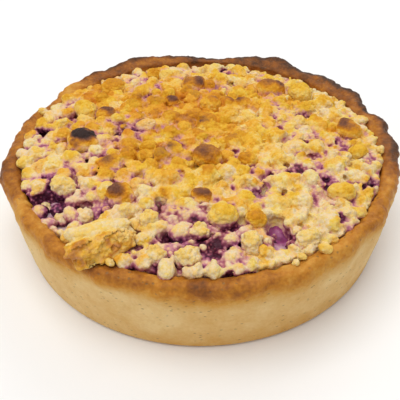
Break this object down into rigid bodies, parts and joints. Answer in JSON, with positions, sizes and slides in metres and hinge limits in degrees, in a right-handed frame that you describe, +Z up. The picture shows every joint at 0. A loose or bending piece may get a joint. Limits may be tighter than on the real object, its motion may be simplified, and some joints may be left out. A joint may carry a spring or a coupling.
{
  "type": "fruit kuchen",
  "caption": "Small round fruit tart in a hand-pressed shortcrust shell, with berry filling under baked streusel crumbs; it stands on its flat base.",
  "frame": {"origin": "middle of the flat base, on the surface that the tart stands on", "axes": "+Z up, out of the base; -Y towards the side that has the broken slab at its left, the side first seen; +X to the right of it"},
  "size_m": [0.1161, 0.114, 0.0325],
  "materials": {
    "pastry": "baked shortcrust pastry, matte and slightly grainy",
    "filling": "cooked berry filling, glossy and dark purple",
    "bed": "baked streusel, buttery yellow",
    "pale": "pale cream streusel crumb",
    "yellow": "buttery yellow streusel crumb",
    "golden": "golden baked streusel crumb",
    "browned": "streusel crumb with a browned top",
    "scorched": "streusel crumb with a scorched, nearly black top",
    "stained": "streusel crumb stained pink by the filling"
  },
  "bodies": {
    "root": {"pastry_shell": "pastry", "berry_filling": "filling", "streusel_bed": "bed", "broken_slab": "pale", "scorched_crumb": "scorched", "browned_crumb_1": "browned", "browned_crumb_2": "browned", "browned_crumb_3": "browned", "browned_crumb_4": "browned", "browned_crumb_5": "browned", "browned_crumb_6": "browned", "browned_crumb_7": "browned", "browned_crumb_8": "browned", "browned_crumb_9": "browned", "golden_crumb_1": "golden", "golden_crumb_2": "golden", "golden_crumb_3": "golden", "golden_crumb_4": "golden", "golden_crumb_5": "golden", "yellow_crumb_1": "yellow", "yellow_crumb_2": "yellow", "yellow_crumb_3": "yellow", "yellow_crumb_4": "yellow", "yellow_crumb_5": "yellow", "pale_crumb_1": "pale", "pale_crumb_2": "pale", "pale_crumb_3": "pale", "pale_crumb_4": "pale", "pale_crumb_5": "pale", "pale_crumb_6": "pale", "pale_crumb_7": "pale", "stained_crumb": "stained"}
  },
  "joints": []
}
